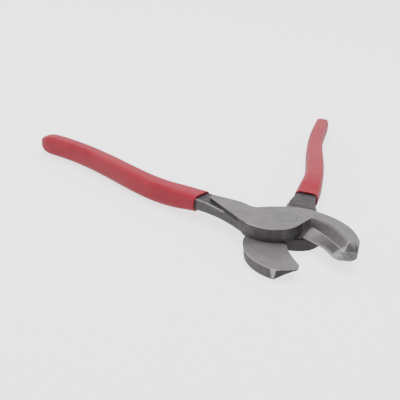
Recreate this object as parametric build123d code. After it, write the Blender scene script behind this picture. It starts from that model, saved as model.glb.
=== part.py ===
# One-hand cable cutter: two forged halves, one flush rivet and two dipped grips.
# Millimetres. The origin lies on the rivet's axis, on the plane that the tool rests on.
# +Z runs up the rivet, the handles open towards +Y and the jaws towards -Y.
# The hook half is the upper one, its handle on the left (-X) and its hook on the right.
from build123d import *
from math import cos, radians, sin
import os

os.makedirs("parts", exist_ok=True)

# Heights of the two forgings, one on top of the other
lower_thickness = 7.2
upper_thickness = 8.8
face_gap = 0.04

# Rivet: a shank with a countersunk head at each face
shank_radius = 4.8
head_radius = 6.2
head_depth = 2.6
rivet_clearance = 0.03

# Hub and the raised tongue that lies along the neck
hub_back = 13.1
hub_front = 13.6
hub_side = 27.8
tongue_end_x = 34.6
tongue_end_y = 30.6
tongue_depth = 3.6
tongue_rise = 2.5
crotch_x = 12.2
crotch_y = 15.2
core_radius = 26.9

# Shoulder: past this radius each neck crosses the mating plane
shoulder_radius = 33.0
shoulder_clearance = 0.4

# Hooked jaw
hook_reach = 30.0
hook_length = 40.7
hook_edge_x = 11.8
hook_ridge_height = 4.0
hook_tip_slope = 52

# Plain blade
blade_length = 41.5
blade_edge_x = 9.6
blade_bevel_width = 8.5
blade_edge_land = 0.9
blade_back_radius = 27.6
blade_back_centre = (-5.5, -19.2)
blade_draft = 1.3

# Necks and tangs
root_width = 17.4
neck_width = 15.6
neck_share = 0.6  # of the way to the mouth, at full width
lower_neck_rise = 2.3
neck_ledge = 1.6
mouth_width = 12.6
mouth_thickness = 7.6
tang_width = 7.6
tang_thickness = 5.6
steel_corner = 1.2
tang_cover = 14.0

# Grips
vinyl_wall = 0.9
grip_width = 13.4
grip_waist = 11.0
grip_waist_share = 0.75  # of the whole handle
grip_swell = 0.12  # of the handle, from the mouth to full size
grip_end_width = 10.2
grip_thickness = 13.2
grip_end_thickness = 13.0
grip_corner = 4.2
mouth_corner = 2.6
grip_floor = 0.3
hook_grip_lift = 1.0
hook_mouth = 0.237  # share of the handle at its grip's mouth
blade_mouth = 0.210
hook_mouth_slant = 10
blade_mouth_slant = 1

# Centre lines of the two handles in plan, from inside the hub to the end of the grip: steeply out
# of the hub, a bend outwards at the mouth, a long inward curve for the fingers, a slight flare
hook_handle = ((-18.3, 2.5), (-21.2, 12.6), (-28.6, 28.3), (-36.8, 39.7), (-52.6, 58.6),
               (-67.2, 82.0), (-79.0, 107.0), (-97.0, 136.6), (-113.0, 153.8))
blade_handle = ((17.4, 2.5), (19.6, 12.6), (25.3, 26.6), (34.2, 38.6), (49.8, 59.4),
                (63.2, 83.0), (76.4, 108.0), (95.2, 136.0), (107.9, 152.2))

top = lower_thickness + upper_thickness
mating = lower_thickness + face_gap
rise = (Align.CENTER, Align.CENTER, Align.MIN)
upper_neck = (mating, top - tongue_rise)
lower_neck = (tongue_rise, lower_thickness + lower_neck_rise)


def arm_path(line, neck, grip_middle):
    # Centre line of a neck and handle: a list of places in plan, brought to height. The neck
    # stays level beside the hub and the handle drifts to its own height past the mouth.
    neck_middle = sum(neck) / 2
    share = (0, 0, 0, 0.15, 1, 1, 1, 1, 1)
    return Spline(*[
        (x, y, neck_middle + (grip_middle - neck_middle) * s) for (x, y), s in zip(line, share)
    ])


def blend(sizes, share):
    # Straight interpolation in a list of (share, value) pairs.
    for (a, first), (b, last) in zip(sizes, sizes[1:]):
        if share <= b:
            return first + (last - first) * (share - a) / (b - a)
    return sizes[-1][1]


def section(path, share, width, thickness, corner, slant=0):
    # Rounded rectangle across a handle's centre line, turned about the upright by the slant.
    along = (path % share).rotate(Axis.Z, slant)
    across = Vector(along.Y, -along.X, 0).normalized()
    plane = Plane(origin=path @ share, x_dir=across, z_dir=along)
    return plane * RectangleRounded(width, thickness, corner)


def arm(path, neck, mouth):
    # Neck and tang in one: flat and wide at the hub, slim inside the grip.
    last = 1 - tang_cover / path.length
    narrowing = neck_share * mouth
    height = neck[1] - neck[0]
    widths = [(0, root_width), (narrowing, neck_width), (mouth, mouth_width), (last, tang_width)]
    depths = [(0, height), (narrowing, height), (mouth, mouth_thickness), (last, tang_thickness)]
    shares = [last * k / 20 for k in range(21)]
    return loft([section(path, s, blend(widths, s), blend(depths, s), steel_corner) for s in shares])


def grip(path, mouth, slant, steel):
    # Dipped sleeve: square cut at the mouth, rounded at the far end.
    width, thickness = mouth_width + 2 * vinyl_wall, mouth_thickness + 2 * vinyl_wall
    full = mouth + grip_swell
    widths = [(mouth, width), (full, grip_width), (grip_waist_share, grip_waist), (1, grip_end_width)]
    depths = [(mouth, thickness), (full, grip_thickness), (0.5, grip_thickness), (1, grip_end_thickness)]
    corners = [(mouth, mouth_corner), (full, grip_corner), (1, grip_corner)]
    body_end = 1 - grip_end_width / 2 / path.length
    shares = [mouth + (body_end - mouth) * k / 14 for k in range(15)]
    sections = [section(path, mouth, width, thickness, mouth_corner, slant)]
    sections += [section(path, s, blend(widths, s), blend(depths, s), blend(corners, s)) for s in shares[1:]]
    body = loft(sections)
    caps = []
    for k in range(6):
        turn = radians(16 * k)
        s = body_end + (1 - body_end) * sin(turn) / sin(radians(80))
        shrink = cos(turn) ** 0.75
        caps.append(section(path, s, blend(widths, body_end) * shrink,
                            blend(depths, body_end) * shrink, grip_corner * shrink))
    return body + loft(caps, ruled=True) - steel


def hub_outline():
    # Flat outline of a hub with its tongue, drawn for the upper half (tongue on the left).
    heel = (-hub_side - 0.3, 3.0)
    front = (-9.0, -hub_front - 0.2)
    throat = (4.0, -9.8)
    shoulder = (13.5, 8.5)
    crotch_start = (2.4 - crotch_x, crotch_y - 0.3)
    crotch_end = (-crotch_x - 4.4, crotch_y + 5.0)
    tongue_back = (3.8 - tongue_end_x, tongue_end_y + 4.8)
    tongue_front = (-tongue_end_x, tongue_end_y)
    return make_face(Wire([
        Line(tongue_front, heel),
        ThreePointArc(heel, (-21.6, -7.2), front),
        ThreePointArc(front, (-2.6, -12.9), throat),
        Line(throat, shoulder),
        ThreePointArc(shoulder, (2.0, hub_back), crotch_start),
        ThreePointArc(crotch_start, (-crotch_x - 1.5, crotch_y + 0.9), crotch_end),
        Spline(crotch_end, (-18.9, 23.8), (-25.3, 30.2), tongue_back),
        ThreePointArc(tongue_back, (0.4 - tongue_end_x, tongue_end_y + 3.6), tongue_front),
    ]))


def jaw_cavity(hub_corner, levels):
    # Space that the ground bevels leave beside a cutting edge: each level is a height and the
    # jaw's inner line there, from the throat to past the tip.
    faces = []
    for height, line in levels:
        outside = (hub_corner[0], line[-1][1])
        edges = [Line(hub_corner, line[0]), Spline(*line), Line(line[-1], outside), Line(outside, hub_corner)]
        faces.append(Pos(0, 0, height) * make_face(Wire(edges)))
    return loft(faces, ruled=True)


def rivet_hole(clearance):
    # Straight hole with a countersink at each face of the closed pair of halves.
    shank = Cylinder(shank_radius + clearance, top, align=rise)
    sink = Cone(head_radius + clearance, shank_radius + clearance, head_depth, align=rise)
    return shank + sink + Pos(0, 0, top) * Rot(180, 0, 0) * sink


def beyond_shoulder(steel, low, high, clearance):
    # Clears the other half's turning space between two heights.
    disc = Cylinder(shoulder_radius + clearance, high - low, align=rise)
    return steel - Pos(0, 0, low) * disc


def tip_cut(first, second, outward, slope):
    # Half space above a ground facet that falls away outwards from the line between two points.
    middle = (Vector(*first) + Vector(*second)) * 0.5
    level = Vector(*outward, 0).normalized()
    fall = level * cos(radians(slope)) - Vector(0, 0, sin(radians(slope)))
    plane = Plane(origin=middle, x_dir=fall, z_dir=level * sin(radians(slope)) + Vector(0, 0, cos(radians(slope))))
    return plane * Box(60, 60, 20, align=rise)


def hook_jaw_outline():
    shoulder = (13.5, 8.5)
    elbow = (hook_reach, -18.5)
    nose = (hook_reach - 3.0, -35.8)
    edge_end = (hook_edge_x + 0.3, -36.0)
    return make_face(Wire([
        ThreePointArc(shoulder, (hook_reach - 5.4, -3.2), elbow),
        ThreePointArc(elbow, (hook_reach - 0.5, -27.5), nose),
        ThreePointArc(nose, (hook_reach - 9.2, -hook_length), edge_end),
        Line(edge_end, (0, -9.0)),
        Line((0, -9.0), (0, 8.5)),
        Line((0, 8.5), shoulder),
    ]))


def blade_jaw_outline():
    # The back is left square here: the cone of the forged back rounds it.
    shoulder = (-13.5, 8.5)
    heel = (-26.4, -1.4)
    corner = (-26.0, -37.9)
    nose = (-20.4, -blade_length + 0.9)
    tip = (-blade_edge_x - 5.4, -blade_length)
    edge_end = (-blade_edge_x - 0.4, -36.5)
    return make_face(Wire([
        Line(shoulder, heel),
        Line(heel, (-40.0, heel[1])),
        Line((-40.0, heel[1]), (-40.0, corner[1])),
        Line((-40.0, corner[1]), corner),
        Line(corner, nose),
        Line(nose, tip),
        ThreePointArc(tip, (-blade_edge_x - 1.7, -blade_length + 1.9), edge_end),
        Spline(edge_end, (-blade_edge_x, -27.0), (-8.6, -20.5), (-3.4, -10.2)),
        Line((-3.4, -10.2), (0, 8.5)),
        Line((0, 8.5), shoulder),
    ]))


def neck_corner(inset):
    # Flat flare on the inner side of the blade half's neck, next to the crotch.
    return make_face(Polyline((13.4 + inset, 25.4), (14.2 + inset, 28.4), (15.6 + inset, 30.3), (26.2, 38.6),
                              (29.0, 34.0), (20.0, 18.0), (13.4 + inset, 25.4)))


def hook_half():
    path = arm_path(hook_handle, upper_neck, lower_thickness + hook_grip_lift)
    core = hub_outline() & Circle(core_radius)
    plate = Pos(0, 0, mating) * extrude(core + hook_jaw_outline(), upper_thickness - face_gap)
    plate += Pos(0, 0, top) * extrude(hub_outline(), -tongue_depth)
    edge = hook_edge_x
    plate -= jaw_cavity((-1.5, -12.7), [
        (mating - 0.01, [(5.8, -10.7), (8.2, -16.0), (edge - 1.0, -22.0), (edge, -30.0), (edge + 0.3, -48.0)]),
        (mating + hook_ridge_height, [(13.0, -6.2), (15.0, -12.4), (16.3, -20.0), (17.2, -29.0), (18.0, -48.0)]),
        (top + 0.01, [(13.0, -4.6), (19.0, -11.4), (21.4, -18.5), (21.9, -28.4), (21.5, -48.0)]),
    ])
    plate -= tip_cut((25.8, -36.4, top), (21.1, -34.3, top), (-0.41, -0.91), hook_tip_slope)
    steel = plate + beyond_shoulder(arm(path, upper_neck, hook_mouth), 0, mating, 0)
    return steel - rivet_hole(rivet_clearance), path


def blade_half():
    path = arm_path(blade_handle, lower_neck, grip_thickness / 2 + grip_floor)
    outline = mirror(hub_outline(), Plane.YZ)
    back = Cone(blade_back_radius - blade_draft, blade_back_radius, lower_thickness, align=rise)
    jaw = extrude(blade_jaw_outline(), lower_thickness) & Pos(*blade_back_centre, 0) * back
    plate = jaw + extrude(outline & Circle(core_radius), lower_thickness)
    plate += extrude(outline, tongue_depth)
    edge = -blade_edge_x
    bevel = blade_bevel_width
    land = lower_thickness - blade_edge_land
    plate -= jaw_cavity((0.5, -12.6), [
        (-0.01, [(-3.4, -10.2), (edge - 6.0, -20.5), (edge - bevel, -27.0), (edge - bevel - 1.0, -32.6),
                 (-22.0, -35.6), (-25.4, -37.6), (-34.0, -48.0)]),
        (land, [(-3.4, -10.2), (-8.6, -20.5), (edge, -27.0), (edge - 0.4, -36.5),
                (edge - 3.2, -40.6), (-20.2, -blade_length + 0.4), (-28.0, -48.0)]),
    ])
    neck = arm(path, lower_neck, blade_mouth)
    neck += Pos(0, 0, tongue_rise) * extrude(neck_corner(0), lower_thickness - tongue_rise)
    neck += Pos(0, 0, lower_thickness) * extrude(neck_corner(neck_ledge), lower_neck_rise)
    steel = plate + beyond_shoulder(neck, lower_thickness, top, shoulder_clearance)
    return steel - rivet_hole(0), path


def pivot_rivet():
    return rivet_hole(0)


hook, hook_path = hook_half()
blade, blade_path = blade_half()
pieces = {
    "hook_half": hook,
    "blade_half": blade,
    "pivot_rivet": pivot_rivet(),
    "hook_grip": grip(hook_path, hook_mouth, -hook_mouth_slant, hook),
    "blade_grip": grip(blade_path, blade_mouth, blade_mouth_slant, blade),
}
for name, piece in pieces.items():
    export_step(piece, f"parts/{name}.step")
    print(name, round(piece.volume), piece.bounding_box())
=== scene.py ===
import math

import bpy
from mathutils import Matrix, Vector
from mathutils.bvhtree import BVHTree


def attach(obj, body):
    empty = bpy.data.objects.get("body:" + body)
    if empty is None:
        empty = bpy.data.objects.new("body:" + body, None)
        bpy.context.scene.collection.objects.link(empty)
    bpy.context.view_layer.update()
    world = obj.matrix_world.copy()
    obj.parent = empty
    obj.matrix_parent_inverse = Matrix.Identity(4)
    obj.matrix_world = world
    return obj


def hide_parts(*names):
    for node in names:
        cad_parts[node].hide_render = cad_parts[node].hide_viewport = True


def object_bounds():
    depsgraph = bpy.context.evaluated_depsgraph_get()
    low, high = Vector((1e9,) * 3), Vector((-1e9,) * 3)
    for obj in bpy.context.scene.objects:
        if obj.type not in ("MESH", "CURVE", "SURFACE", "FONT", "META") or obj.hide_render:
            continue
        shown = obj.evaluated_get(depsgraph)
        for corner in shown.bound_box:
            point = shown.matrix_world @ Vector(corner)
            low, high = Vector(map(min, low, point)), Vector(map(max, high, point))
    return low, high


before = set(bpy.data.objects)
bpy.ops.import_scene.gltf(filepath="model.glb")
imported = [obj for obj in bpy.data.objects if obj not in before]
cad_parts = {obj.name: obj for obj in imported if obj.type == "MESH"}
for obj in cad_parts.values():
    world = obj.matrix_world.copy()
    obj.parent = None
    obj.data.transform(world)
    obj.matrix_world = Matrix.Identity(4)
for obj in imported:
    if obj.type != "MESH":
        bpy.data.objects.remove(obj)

mm = 0.001
upward = Vector((0, 0, 1))
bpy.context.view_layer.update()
print("frame loaded:", len(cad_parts), "CAD nodes")


# shader helpers: a sum on a Value adds its Math nodes
class Value:
    def __init__(self, net, socket):
        self.net = net
        self.socket = socket

    def math(self, operation, *inputs):
        return self.net.node("ShaderNodeMath", {"operation": operation}, inputs)

    def __add__(self, other):
        return self.math("ADD", self, other)

    def __sub__(self, other):
        return self.math("SUBTRACT", self, other)

    def __rsub__(self, other):
        return self.math("SUBTRACT", other, self)

    def __mul__(self, other):
        return self.math("MULTIPLY", self, other)

    __radd__ = __add__
    __rmul__ = __mul__

    def least(self, other):
        return self.math("MINIMUM", self, other)

    def size(self):
        return self.math("ABSOLUTE", self)

    def root(self):
        return self.math("SQRT", self)


class Net:
    def __init__(self, owner):
        owner.use_nodes = True
        self.owner = owner
        self.tree = owner.node_tree
        self.tree.nodes.clear()

    def node(self, kind, settings=None, values=(), output=0):
        made = self.tree.nodes.new(kind)
        for key, value in (settings or {}).items():
            setattr(made, key, value)
        pairs = values.items() if isinstance(values, dict) else enumerate(values)
        for key, value in pairs:
            if isinstance(value, Value):
                self.tree.links.new(value.socket, made.inputs[key])
            elif value is not None:
                made.inputs[key].default_value = value
        return Value(self, made.outputs[output] if made.outputs else None)

    def smooth(self, value, low, high):
        # 0 at low, 1 at high, in either order
        ends = {"From Min": low, "From Max": high}
        if low > high:
            ends = {"From Min": high, "From Max": low, "To Min": 1.0, "To Max": 0.0}
        return self.ramp(value, ends)

    def ramp(self, value, ends):
        return self.node("ShaderNodeMapRange", {"interpolation_type": "SMOOTHSTEP"}, {"Value": value, **ends})

    def mix(self, factor, first, second):
        return self.node("ShaderNodeMix", {"data_type": "RGBA"}, {0: factor, 6: first, 7: second}, 2)

    def noise(self, place, scale, detail, roughness):
        return self.node("ShaderNodeTexNoise", None, {
            "Vector": place, "Scale": scale, "Detail": detail, "Roughness": roughness})

    def mapped(self, place, scale, turn):
        # turned first, so that the stretch lies along the turned X
        turned = self.node("ShaderNodeVectorRotate", {"rotation_type": "Z_AXIS"}, {
            "Vector": place, "Angle": math.radians(-turn)})
        return self.node("ShaderNodeMapping", None, {"Vector": turned, "Scale": scale})

    def bump(self, height, strength, normal=None):
        # heights in millimetres
        return self.node("ShaderNodeBump", None, {
            "Strength": strength, "Distance": 1.0 * mm, "Height": height, "Normal": normal})

    def place(self):
        # object coordinates in millimetres
        raw = self.node("ShaderNodeTexCoord", None, (), "Object")
        return self.node("ShaderNodeVectorMath", {"operation": "SCALE"}, {"Vector": raw, "Scale": 1 / mm})

    def parts(self, vector):
        split = self.node("ShaderNodeSeparateXYZ", None, [vector]).socket.node
        return [Value(self, out) for out in split.outputs]

    def finish(self, shader):
        self.node("ShaderNodeOutputMaterial", None, {"Surface": shader})
        return self.owner


def newMaterial(name):
    return Net(bpy.data.materials.new(name))


def tone(red, green, blue):
    return (red, green, blue, 1.0)


def wear(node, material):
    node.data.materials.clear()
    node.data.materials.append(material)


# camera
view = {"place": (-203.57, -354.77, 223.97), "aim": (-46.02, 21.87, 20.86), "roll": 4.8,
        "lens": 71.28, "sensor": 36, "clip": (0.01, 20)}
bpy.ops.object.select_all(action="DESELECT")
bpy.ops.object.camera_add(location=[v * mm for v in view["place"]])
eye = bpy.context.object
look = (Vector(view["aim"]) - Vector(view["place"])).to_track_quat("-Z", "Y").to_matrix()
eye.rotation_euler = (look @ Matrix.Rotation(math.radians(view["roll"]), 3, "Z")).to_euler()
eye.data.lens = view["lens"]
eye.data.sensor_width = view["sensor"]
eye.data.clip_start, eye.data.clip_end = view["clip"]
bpy.context.scene.camera = eye
print("camera placed")


# forged steel: a dull scaled skin, with bright faces where the maker ground it bare
forging = {
    "skin": tone(0.195, 0.182, 0.193), "skinLight": tone(0.250, 0.234, 0.246),
    "skinPit": tone(0.075, 0.068, 0.073), "skinRoughness": 0.52, "skinMetal": 0.78,
    "ground": tone(0.385, 0.361, 0.374), "groundLight": tone(0.54, 0.508, 0.524),
    "groundDull": tone(0.315, 0.295, 0.306), "groundRoughness": 0.40, "groundMetal": 0.74,
    "edge": tone(0.88, 0.85, 0.82), "paintedGlint": tone(0.95, 0.89, 0.82), "paintedShade": tone(0.055, 0.050, 0.055),
    "edgeRadius": 0.42 * mm, "highlightMetalCut": 0.22, "bump": 0.6,
}


def forgedMaterial(name, plan, grindTurn):
    net = newMaterial(name)
    place = net.place()
    normal = net.node("ShaderNodeNewGeometry", None, (), "Normal")
    facing = net.parts(normal)
    # edges softened as a file leaves them, and a mask of where they are
    bevel = net.node("ShaderNodeBevel", {"samples": 8}, {"Radius": forging["edgeRadius"]})
    along = net.node("ShaderNodeVectorMath", {"operation": "DOT_PRODUCT"}, [bevel, normal], "Value")
    edge = net.smooth(1 - along, 0.02, 0.16)
    grain = net.noise(place, 2.3, 6.0, 0.68)
    mottle = net.noise(place, 0.30, 4.0, 0.55)
    ground, paintedGlint, paintedHighlight, paintedShade = plan(net, place, facing, grain)
    # forged skin: fine scale, shallow pits and soft mottling
    pits = net.smooth(net.noise(place, 1.3, 3.0, 0.6), 0.64, 0.74)
    skin = net.mix(net.smooth(mottle, 0.36, 0.66), forging["skin"], forging["skinLight"])
    skin = net.mix(net.smooth(grain, 0.52, 0.32) * 0.30, skin, forging["skinPit"])
    skin = net.mix(pits * 0.35, skin, forging["skinPit"])
    # ground faces: fine lines one way, a few deeper ones across, and faint clouds of handling
    lines = net.noise(net.mapped(place, (0.07, 4.6, 1.0), grindTurn), 1.0, 4.0, 0.72)
    across = net.noise(net.mapped(place, (0.04, 2.2, 1.0), grindTurn + 8), 1.0, 2.0, 0.5)
    deeper = net.smooth(across, 0.60, 0.70)
    cloud = net.noise(place, 0.11, 3.0, 0.5)
    bare = net.mix(net.smooth(lines, 0.30, 0.70), forging["ground"], forging["groundLight"])
    bare = net.mix(deeper * 0.30, bare, forging["edge"])
    bare = net.mix(net.smooth(cloud, 0.38, 0.66) * 0.45, bare, forging["groundDull"])
    colour = net.mix(ground, skin, bare)
    # painted shade and shadow: the plan's dark marks pull the colour toward near-black
    colour = net.mix(paintedShade, colour, forging["paintedShade"])
    # painted highlight on the edges found by the bevel, stronger on bare faces, none under painted shade
    colour = net.mix(edge * (0.36 + 0.30 * ground) * (1 - paintedShade), colour, forging["edge"])
    # painted highlights from the plan, in the bright edge colour
    colour = net.mix(paintedHighlight, colour, forging["edge"])
    # painted glints on filed edges and burrs
    colour = net.mix(paintedGlint, colour, forging["paintedGlint"])
    # painted highlights are made less metallic, so the lamps lift them further
    metal = forging["skinMetal"] + ground * (forging["groundMetal"] - forging["skinMetal"]) - \
        paintedHighlight * forging["highlightMetalCut"]
    rough = (forging["skinRoughness"] + (grain - 0.5) * 0.28) * (1 - ground) + \
        (forging["groundRoughness"] + (lines - 0.5) * 0.30 - deeper * 0.06) * ground
    height = (mottle * 0.14 + grain * 0.055 - pits * 0.06) * (1 - ground) + \
        (lines * 0.010 - deeper * 0.010 + cloud * 0.04) * ground
    return net.finish(net.node("ShaderNodeBsdfPrincipled", None, {
        "Base Color": colour, "Metallic": metal, "Roughness": rough,
        "Normal": net.bump(height, forging["bump"], bevel)}))


# how strongly each marked place of the hook half shows, and the heights that its marks follow
hookMarks = {
    "top": 16.0, "mating": 7.24, "ridge": 11.2, "grindTurn": 62,
    "bareScoop": 0.25, "lipGlint": 0.55, "hubGlint": 0.85,
    "neckHighlight": 0.65, "ridgeHighlight": 0.32, "throatHighlight": 0.40, "scoopHighlight": 0.2, "tipReflectionLight": 0.5,
    "sideShade": 0.33, "throatShadow": 0.52, "bevelShade": 0.66, "wedgeShadow": 0.5, "hubShade": 0.42,
    "scoopShade": 0.34, "tipReflectionDark": 0.34,
}


def hookPlan(net, place, facing, grain):
    x, y, z = net.parts(place)
    top, mating, ridge = (hookMarks[key] for key in ("top", "mating", "ridge"))
    uneven = grain - 0.5
    # bare: the flat top, the mating face, the cutting bevel below its ridge and the tip
    wall = net.smooth(facing[2].size(), 0.30, 0.12)
    flat = net.smooth(facing[2], 0.93, 0.98) * net.smooth(z, top - 0.4, top - 0.2)
    seat = net.smooth(facing[2], -0.93, -0.98) * net.smooth(z, mating + 0.36, mating + 0.16)
    jaw = net.smooth(x, 4.6, 5.6) * net.smooth(y, -6.5, -8.5)      # right of the throat, towards the tip
    inner = jaw * net.smooth(facing[0], -0.05, -0.25)
    below = net.smooth(z + uneven * 0.4, ridge + 0.15, ridge - 0.1)
    bevel = inner * below
    tip = net.smooth(y, -33.0, -33.8) * net.smooth(facing[2], 0.2, 0.35) * (1 - flat)
    scoop = inner * (1 - below)
    ground = (flat + seat + bevel + tip + scoop * hookMarks["bareScoop"]).least(1.0)
    # painted glints along the worn lip of the cutting edge and the burr on the hub's front corner
    lip = bevel * net.smooth(z + uneven * 1.4, mating + 0.76, mating + 0.16)
    hubFront = wall * net.smooth(z + uneven * 0.4, top - 0.65, top - 0.45) * net.smooth(x, -29.0, -26.0) * \
        net.smooth(x, -11.0, -17.0) * net.smooth(y, 1.0, -2.0)
    paintedGlint = (lip * hookMarks["lipGlint"] + hubFront * hookMarks["hubGlint"]).least(1.0)
    # painted highlights: the neck's rounded front corner, the ridge, the bevel next to the throat, the
    # scoop's upper lip, and the bright streaks of a painted reflection across the tip
    neckCorner = net.smooth(facing[2], 0.55, 0.72) * net.smooth(facing[2], 0.96, 0.88) * \
        net.smooth(facing[0], -0.1, -0.3) * net.smooth(z, 12.0, 12.6) * net.smooth(y, 12.0, 16.0)
    crest = inner * net.smooth((z - ridge).size(), 0.28, 0.10)
    throatEnd = bevel * net.smooth(y + uneven * 4, -17.0, -11.0)
    rounded = scoop * net.smooth(z + uneven * 1.6, top - 1.4, top - 0.1)
    streak = net.noise(net.mapped(place, (0.36, 0.10, 0.07), 20), 1.0, 2.0, 0.5)
    streaks = (bevel * net.smooth(y, -32.0, -34.0) + tip).least(1.0)
    paintedHighlight = (neckCorner * hookMarks["neckHighlight"] + crest * hookMarks["ridgeHighlight"] +
             throatEnd * hookMarks["throatHighlight"] + rounded * hookMarks["scoopHighlight"] +
             streaks * net.smooth(streak, 0.44, 0.68) * hookMarks["tipReflectionLight"]).least(1.0)
    # painted shade: the forging's sides, painted shadow in the throat, on the bevel's end, in the wedge
    # beside the tongue, at the foot of the hub and in the scoop, and the dark streaks of a painted reflection
    # across the tip
    throat = wall * net.smooth(x, -14.0, -3.0) * net.smooth(x, 15.0, 12.0) * \
        net.smooth(y, 2.0, -3.0) * (1 - inner)
    bevelEndShadow = bevel * net.smooth(y + uneven * 5, -15.0, -27.0) * net.smooth(y, -33.5, -31.0) * \
        net.smooth(z, mating + 0.56, mating + 1.56)
    wedge = wall * net.smooth(z, 13.1, 13.5) * net.smooth(y, 2.0, 8.0) * net.smooth(x, -20.0, -24.0)
    lowHub = wall * net.smooth(z, 11.0, 8.6) * net.smooth(x, -27.0, -16.0) * \
        net.smooth(y, 2.0, -4.0) * (1 - jaw)
    paintedShade = (wall * (1 - jaw) * hookMarks["sideShade"] + throat * hookMarks["throatShadow"] +
            bevelEndShadow * hookMarks["bevelShade"] + wedge * hookMarks["wedgeShadow"] + lowHub * hookMarks["hubShade"] +
            scoop * hookMarks["scoopShade"] +
            streaks * net.smooth(streak, 0.56, 0.34) * hookMarks["tipReflectionDark"]).least(1.0)
    return ground, paintedGlint, paintedHighlight, paintedShade


wear(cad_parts["hook_half"], forgedMaterial("hook_forging", hookPlan, hookMarks["grindTurn"]))
print("hook half finished")


bladeMarks = {
    "mating": 7.2, "grindTurn": 118, "bareBevel": 0.6, "backGlint": 0.8, "spotGlint": 0.7,
    "landHighlight": 0.40, "facetHighlight": 0.26, "stepHighlight": 0.42, "faceHighlight": 0.05, "footHighlight": 0.15,
    "sideShade": 0.33, "bossShade": 0.48, "ledgeShadow": 0.85, "bevelShade": 0.42,
}


def bladePlan(net, place, facing, grain):
    x, y, z = net.parts(place)
    mating = bladeMarks["mating"]
    # bare: the mating face, the underside, the cutting bevel and the little facet at its end
    wall = net.smooth(facing[2].size(), 0.30, 0.12)
    flat = net.smooth(facing[2], 0.93, 0.98) * net.smooth((z - mating).size(), 0.25, 0.12)
    under = net.smooth(facing[2], -0.93, -0.98) * net.smooth(z, 0.4, 0.2)
    jaw = net.smooth(y, -10.0, -12.0)
    bevel = jaw * net.smooth(facing[2], -0.20, -0.35)
    land = jaw * wall * net.smooth(x + y * 0.25, -17.5, -16.5) * net.smooth(x, -5.0, -6.5) * \
        net.smooth(z, mating - 1.1, mating - 0.8)
    endFace = net.smooth(facing[1], -0.45, -0.60) * net.smooth(facing[2], 0.5, 0.3) * \
        net.smooth(y, -36.0, -37.0)
    facet = endFace * net.smooth(x, -24.3, -24.9) * net.smooth(x, -27.2, -26.4)
    ground = (flat + under + bevel * bladeMarks["bareBevel"] + land + facet).least(1.0)
    # painted glints along the filed line of the blade's back edge, and a painted highlight spot by the hub
    back = wall * net.smooth(z + (grain - 0.5) * 0.25, mating - 0.65, mating - 0.4) * \
        net.smooth(y, -7.0, -9.0) * net.smooth(x, -22.0, -24.0)
    spot = flat * net.smooth((x + 25.8).size() + (y + 3.2).size(), 1.5, 0.7)
    paintedGlint = (back * bladeMarks["backGlint"] + spot * bladeMarks["spotGlint"]).least(1.0)
    # painted highlights: the land, the facet, the neck's turned step and the blade's face near the hub
    step = wall * net.smooth(z, mating + 0.05, mating + 0.15) * net.smooth(y, 12.0, 16.0)
    foot = flat * jaw * net.smooth((x * x + y * y).root(), 33.0, 19.0)
    ledge = flat * net.smooth(x, -9.0, -6.5) * net.smooth(y, -4.0, -7.0) * net.smooth(y, -16.0, -14.5)
    face = (flat * jaw * bladeMarks["faceHighlight"] + foot * bladeMarks["footHighlight"]) * (1 - ledge)
    paintedHighlight = (land * bladeMarks["landHighlight"] + facet * bladeMarks["facetHighlight"] +
             step * bladeMarks["stepHighlight"] + face).least(1.0)
    # painted shade: the sides, painted shadow on the boss and ledge below the hook half's hub, and on the
    # bevel and end face
    boss = wall * net.smooth(x, -12.0, -9.0) * net.smooth(y, 0.0, -4.0) * net.smooth(y, -16.0, -14.5)
    paintedShade = (wall * (1 - facet) * (1 - step) * (1 - back) * bladeMarks["sideShade"] +
            boss * bladeMarks["bossShade"] + ledge * bladeMarks["ledgeShadow"] +
            (bevel + endFace * (1 - facet)).least(1.0) * bladeMarks["bevelShade"]).least(1.0)
    return ground, paintedGlint, paintedHighlight, paintedShade


wear(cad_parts["blade_half"], forgedMaterial("blade_forging", bladePlan, bladeMarks["grindTurn"]))
print("blade half finished")


# the rivet, ground flush with the hub
rivet = {"face": tone(0.35, 0.35, 0.363), "light": tone(0.43, 0.425, 0.44), "ring": tone(0.13, 0.125, 0.13),
         "headRadius": 6.2, "grindTurn": 58, "roughness": 0.36, "metal": 0.74, "bump": 0.6}


def rivetMaterial():
    net = newMaterial("rivet_steel")
    place = net.place()
    x, y, _ = net.parts(place)
    radius = (x * x + y * y).root()
    lines = net.noise(net.mapped(place, (0.08, 5.0, 1.0), rivet["grindTurn"]), 1.0, 4.0, 0.75)
    cloud = net.noise(place, 0.5, 3.0, 0.6)
    colour = net.mix(net.smooth(lines, 0.3, 0.7), rivet["face"], rivet["light"])
    colour = net.mix(net.smooth(cloud, 0.45, 0.65) * 0.4, colour, rivet["face"])
    rim = net.smooth(radius, rivet["headRadius"] - 0.5, rivet["headRadius"] - 0.15)
    colour = net.mix(rim * 0.8, colour, rivet["ring"])
    return net.finish(net.node("ShaderNodeBsdfPrincipled", None, {
        "Base Color": colour, "Metallic": rivet["metal"],
        "Roughness": rivet["roughness"] + (lines - 0.5) * 0.25,
        "Normal": net.bump(lines * 0.012 + cloud * 0.03 - rim * 0.10, rivet["bump"])}))


wear(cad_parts["pivot_rivet"], rivetMaterial())
print("rivet finished")


# dipped vinyl grips
vinyl = {
    "red": tone(0.48, 0.030, 0.056), "deep": tone(0.43, 0.022, 0.046), "dusty": tone(0.58, 0.12, 0.145),
    "roughness": 0.30, "bump": 0.4, "bloom": 0.27, "bloomFrom": 66.0, "bloomTo": 96.0,
}


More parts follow.
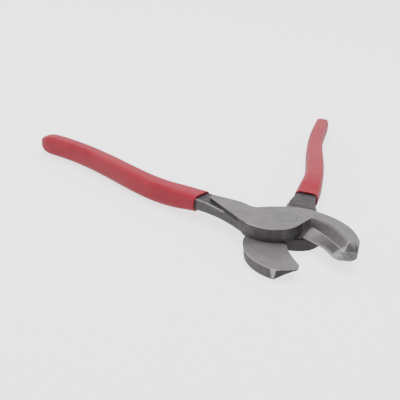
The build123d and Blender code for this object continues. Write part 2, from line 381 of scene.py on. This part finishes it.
def vinylMaterial():
    net = newMaterial("grip_vinyl")
    place = net.place()
    x, y, _ = net.parts(place)
    cloud = net.noise(place, 0.055, 3.0, 0.5)
    ripple = net.noise(place, 0.16, 2.0, 0.5)
    fine = net.noise(place, 1.3, 4.0, 0.6)
    speck = net.noise(place, 8.0, 2.0, 0.5)
    scuff = net.smooth(net.noise(net.mapped(place, (0.35, 1.4, 1.0), 130), 0.8, 5.0, 0.72), 0.60, 0.74)
    colour = net.mix(net.smooth(cloud, 0.35, 0.65), vinyl["deep"], vinyl["red"])
    colour = net.mix(net.smooth(fine, 0.48, 0.8) * 0.12, colour, vinyl["dusty"])
    colour = net.mix(scuff * 0.10, colour, vinyl["dusty"])
    # a dusty bloom on the right-hand grip, rubbed off near the hub by handling
    reach = (x * x + y * y).root()
    bloom = net.smooth(reach, vinyl["bloomFrom"], vinyl["bloomTo"]) * net.smooth(x, 0.0, 10.0)
    colour = net.mix(bloom * vinyl["bloom"], colour, vinyl["dusty"])
    rough = vinyl["roughness"] + (fine - 0.5) * 0.12 + scuff * 0.10 + bloom * 0.1
    height = cloud * 0.5 + ripple * 0.2 + fine * 0.02 + speck * 0.004
    return net.finish(net.node("ShaderNodeBsdfPrincipled", None, {
        "Base Color": colour, "Roughness": rough, "Normal": net.bump(height, vinyl["bump"])}))


# lengths in millimetres
gripShape = {
    "step": 5.0, "corner": 3.6, "cornerSteps": 4, "smoothing": 2,
    "flare": 0.9, "flareShares": (1.0, 0.8, 0.5, 0.2),     # wider at the mouth, fading ring by ring
    "wall": 0.8, "pocket": 4.0, "lip": 0.35, "lipSteps": 3,
    "dome": 6.4, "domeTurns": (18, 35, 50, 62, 72, 80, 86), "domeBluntness": 0.75, "domeSpare": 0.7,
    "mouthSpare": 8.0,      # how far the sleeve runs on before it is cut
    "creases": {            # soft rings: how far from the mouth, and how much is left
        "hook_grip": (), "blade_grip": ((27, 0.975), (37, 0.97))},
}
feeler = {"reach": 30.0, "first": 1.5, "mouthDepth": 16.0, "mostStations": 60}


def turnedSide(heading):
    return Vector((heading.y, -heading.x, 0))


def level(direction):
    # the same direction, laid flat
    direction.z = 0
    direction.normalize()
    return direction


def measureMouth(mesh):
    # The steep faces at the end nearest the hub are the grip's cut mouth.
    near = min((v.co for v in mesh.vertices), key=lambda p: p.xy.length)
    cut = [f for f in mesh.polygons
           if abs(f.normal.z) < 0.2 and f.normal.dot(-f.center.normalized()) > 0.8
           and (f.center - near).length < feeler["mouthDepth"] * mm]
    facing = level(sum((f.normal * f.area for f in cut), Vector()))
    rim = [mesh.vertices[i].co for f in cut for i in f.vertices]
    across = turnedSide(facing)
    reach = [p.dot(across) for p in rim]
    rise = [p.z for p in rim]
    middle = across * (min(reach) + max(reach)) / 2 + facing * (sum(p.dot(facing) for p in rim) / len(rim))
    middle.z = (min(rise) + max(rise)) / 2
    return {"middle": middle, "facing": facing,
            "width": max(reach) - min(reach), "height": max(rise) - min(rise)}


def measureGrip(name):
    # Walks along a CAD grip from its mouth and feels its sides with rays from outside.
    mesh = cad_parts[name].data
    tree = BVHTree.FromPolygons([v.co for v in mesh.vertices], [list(f.vertices) for f in mesh.polygons])
    far = max((v.co for v in mesh.vertices), key=lambda p: p.xy.length)
    mouth = measureMouth(mesh)
    reach = feeler["reach"] * mm

    def touch(start, direction):
        hit = tree.ray_cast(start + direction * reach, -direction, reach)[0]
        return hit if hit else start

    stations = []
    heading = -mouth["facing"]
    place = mouth["middle"] + heading * feeler["first"] * mm
    while (far - place).xy.length > gripShape["dome"] * mm and len(stations) < feeler["mostStations"]:
        # felt twice, the second time square to the better heading
        for _ in range(2):
            side = turnedSide(heading)
            right, left = touch(place, side), touch(place, -side)
            place = (right + left) / 2
            over, below = touch(place, upward), touch(place, -upward)
            place.z = (over.z + below.z) / 2
            if stations:
                heading = level(place - stations[-1][0])
        stations.append((place.copy(), (right - left).length, over.z - below.z))
        place = place + heading * gripShape["step"] * mm
    return mouth, stations, far


def sleeveRings(name, mouth, stations, runs):
    # Where each ring of the straight sleeve lies along X, with its width and height.
    flare = gripShape["flare"] * mm
    rings = [(0.0, mouth["width"] + flare, mouth["height"] + flare)]
    rings += [(run, width, height) for run, (place, width, height) in zip(runs[1:], stations)]
    for k, share in enumerate(gripShape["flareShares"], 1):
        run, width, height = rings[k]
        rings[k] = (run, max(width, mouth["width"]) + flare * share,
                    max(height, mouth["height"]) + flare * share)
    for reach, left in gripShape["creases"][name]:
        k = round((gripShape["mouthSpare"] + reach) / gripShape["step"])
        run, width, height = rings[k]
        rings[k] = (run, width * left, height * left)
    lastWidth, lastHeight = rings[-1][1:]
    dome = runs[-1] - runs[-2]
    for turn in gripShape["domeTurns"]:
        angle = math.radians(turn)
        shrink = math.cos(angle) ** gripShape["domeBluntness"]
        rings.append((runs[-2] + dome * math.sin(angle), lastWidth * shrink, lastHeight * shrink))
    return rings


def straightSleeve(name, rings):
    bpy.ops.object.select_all(action="DESELECT")
    bpy.ops.mesh.primitive_plane_add(size=1, rotation=(0, math.pi / 2, 0))
    sleeve = bpy.context.object
    sleeve.name = name + "_sleeve"
    bpy.ops.object.transform_apply(location=True, rotation=True, scale=True)
    bpy.ops.object.mode_set(mode="EDIT")
    bpy.ops.mesh.select_all(action="SELECT")
    bpy.ops.transform.resize(value=(1, rings[0][1], rings[0][2]), center_override=(0, 0, 0))
    bpy.ops.mesh.bevel(offset=gripShape["corner"] * mm, offset_type="OFFSET",
                       segments=gripShape["cornerSteps"], affect="VERTICES", clamp_overlap=True)
    for (here, width, height), (there, nextWidth, nextHeight) in zip(rings, rings[1:]):
        bpy.ops.mesh.extrude_region_move(TRANSFORM_OT_translate={"value": (there - here, 0, 0)})
        bpy.ops.transform.resize(value=(1, nextWidth / width, nextHeight / height),
                                 center_override=(there, 0, 0))
    bpy.ops.mesh.select_all(action="SELECT")
    bpy.ops.mesh.normals_make_consistent(inside=False)
    bpy.ops.object.mode_set(mode="OBJECT")
    smoother = sleeve.modifiers.new("smoother", "SUBSURF")
    smoother.levels = smoother.render_levels = gripShape["smoothing"]
    bpy.ops.object.modifier_apply(modifier="smoother")
    # smoothing draws a shape in a little, so it is let out again to its full width and height
    across = [v.co.y for v in sleeve.data.vertices]
    above = [v.co.z for v in sleeve.data.vertices]
    wider = max(r[1] for r in rings) / (max(across) - min(across))
    higher = max(r[2] for r in rings) / (max(above) - min(above))
    bpy.ops.object.mode_set(mode="EDIT")
    bpy.ops.mesh.select_all(action="SELECT")
    bpy.ops.transform.resize(value=(1, wider, higher), center_override=(0, 0, 0))
    bpy.ops.object.mode_set(mode="OBJECT")
    return sleeve


def bendAlong(sleeve, line):
    curve = bpy.data.curves.new("guide", "CURVE")
    curve.dimensions = "3D"
    curve.twist_mode = "Z_UP"
    curve.resolution_u = 12
    spline = curve.splines.new("NURBS")
    spline.points.add(len(line) - 1)
    for point, place in zip(spline.points, line):
        point.co = (*place, 1)
    spline.order_u = 3
    spline.use_endpoint_u = True
    guide = bpy.data.objects.new("guide", curve)
    bpy.context.scene.collection.objects.link(guide)
    bend = sleeve.modifiers.new("bend", "CURVE")
    bend.object = guide
    bend.deform_axis = "POS_X"
    bpy.ops.object.modifier_apply(modifier="bend")
    bpy.data.objects.remove(guide)


def openMouth(sleeve, mouth):
    # Cut square across the steel, hollowed, its rim rounded.
    bpy.ops.object.mode_set(mode="EDIT")
    bpy.ops.mesh.select_all(action="SELECT")
    bpy.ops.mesh.bisect(plane_co=mouth["middle"], plane_no=mouth["facing"], use_fill=True, clear_outer=True)
    bpy.ops.object.mode_set(mode="OBJECT")
    for part in (sleeve.data.vertices, sleeve.data.edges, sleeve.data.polygons):
        for item in part:
            item.select = False
    for f in sleeve.data.polygons:
        f.select = f.normal.dot(mouth["facing"]) > 0.98 and len(f.vertices) > 8
    bpy.ops.object.mode_set(mode="EDIT")
    bpy.ops.mesh.select_mode(type="FACE")
    bpy.ops.mesh.inset(thickness=gripShape["wall"] * mm, depth=0)
    inwards = -mouth["facing"] * gripShape["pocket"] * mm
    bpy.ops.mesh.extrude_region_move(TRANSFORM_OT_translate={"value": inwards})
    bpy.ops.object.mode_set(mode="OBJECT")
    rim = sleeve.modifiers.new("rim", "BEVEL")
    rim.limit_method = "ANGLE"
    rim.angle_limit = math.radians(55)
    rim.width = gripShape["lip"] * mm
    rim.segments = gripShape["lipSteps"]
    bpy.ops.object.modifier_apply(modifier="rim")


def dipSleeve(name, body, material):
    mouth, stations, far = measureGrip(name)
    # centre line, straight on past the mouth
    first, second, last = stations[0][0], stations[1][0], stations[-1][0]
    start = first + (first - second).normalized() * (gripShape["mouthSpare"] + feeler["first"]) * mm
    end = far + (last - far).normalized() * gripShape["domeSpare"] * mm
    line = [start] + [s[0] for s in stations] + [end]
    runs = [0.0]
    for a, b in zip(line, line[1:]):
        runs.append(runs[-1] + (b - a).length)
    sleeve = straightSleeve(name, sleeveRings(name, mouth, stations, runs))
    bendAlong(sleeve, line)
    openMouth(sleeve, mouth)
    bpy.ops.object.shade_smooth_by_angle(angle=math.radians(40))
    wear(sleeve, material)
    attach(sleeve, body)
    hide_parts(name)
    print(name, "dipped,", len(stations), "stations")


vinylSkin = vinylMaterial()
dipSleeve("hook_grip", "hook_side", vinylSkin)
dipSleeve("blade_grip", "blade_side", vinylSkin)


# the studio: a softly lit white table, with a bright room low down and a darker ceiling
studio = {
    "table": tone(0.92, 0.92, 0.92), "tableGlow": 1.9, "tableSize": 60, "tableGap": 0.05 * mm,
    "below": 1.18, "horizon": 1.05, "ceiling": 0.26, "fade": (0.42, 0.74),
}
# each lamp's place from the part's centre, with its height above the table
lamps = {
    "overhead_softbox": {"aside": (0.0, 0.15), "height": 1.1, "size": (1.4, 1.4),
                         "power": 19.0, "mirrored": False},
    "window": {"aside": (-0.8, 0.9), "height": 0.55, "size": (0.35, 0.5),
               "power": 1.5, "mirrored": True},
}
low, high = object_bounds()
centre = (low + high) / 2
bpy.ops.object.select_all(action="DESELECT")
bpy.ops.mesh.primitive_plane_add(size=studio["tableSize"],
                                 location=(centre.x, centre.y, low.z - studio["tableGap"]))
table = bpy.context.object
table.name = "table"
net = newMaterial("white_table")
table.data.materials.append(net.finish(net.node("ShaderNodeBsdfPrincipled", None, {
    "Base Color": studio["table"], "Roughness": 0.9, "Specular IOR Level": 0.1,
    "Emission Color": tone(1, 1, 1), "Emission Strength": studio["tableGlow"]})))
# it glows for the eye only, and lights nothing
table.visible_glossy = False
table.visible_diffuse = False

room = bpy.data.worlds.new("room")
bpy.context.scene.world = room
net = Net(room)
rise = net.parts(net.node("ShaderNodeTexCoord", None, (), "Generated"))[2]
fadeFrom, fadeTo = studio["fade"]
glow = net.ramp(rise, {
    "From Min": fadeFrom, "From Max": fadeTo, "To Min": studio["horizon"], "To Max": studio["ceiling"]})
upper = net.smooth(rise, -0.03, 0.0)
glow = glow * upper + studio["below"] * (1 - upper)
net.node("ShaderNodeOutputWorld", None, {
    "Surface": net.node("ShaderNodeBackground", None, {"Strength": glow})})

for name, lamp in lamps.items():
    place = Vector((centre.x + lamp["aside"][0], centre.y + lamp["aside"][1], lamp["height"]))
    bpy.ops.object.select_all(action="DESELECT")
    bpy.ops.object.light_add(type="AREA", location=place)
    light = bpy.context.object
    light.name = name
    light.data.shape = "RECTANGLE"
    light.data.size, light.data.size_y = lamp["size"]
    light.data.energy = lamp["power"]
    light.visible_glossy = lamp["mirrored"]
    light.rotation_euler = (centre - place).to_track_quat("-Z", "Y").to_euler()
print("stage set")
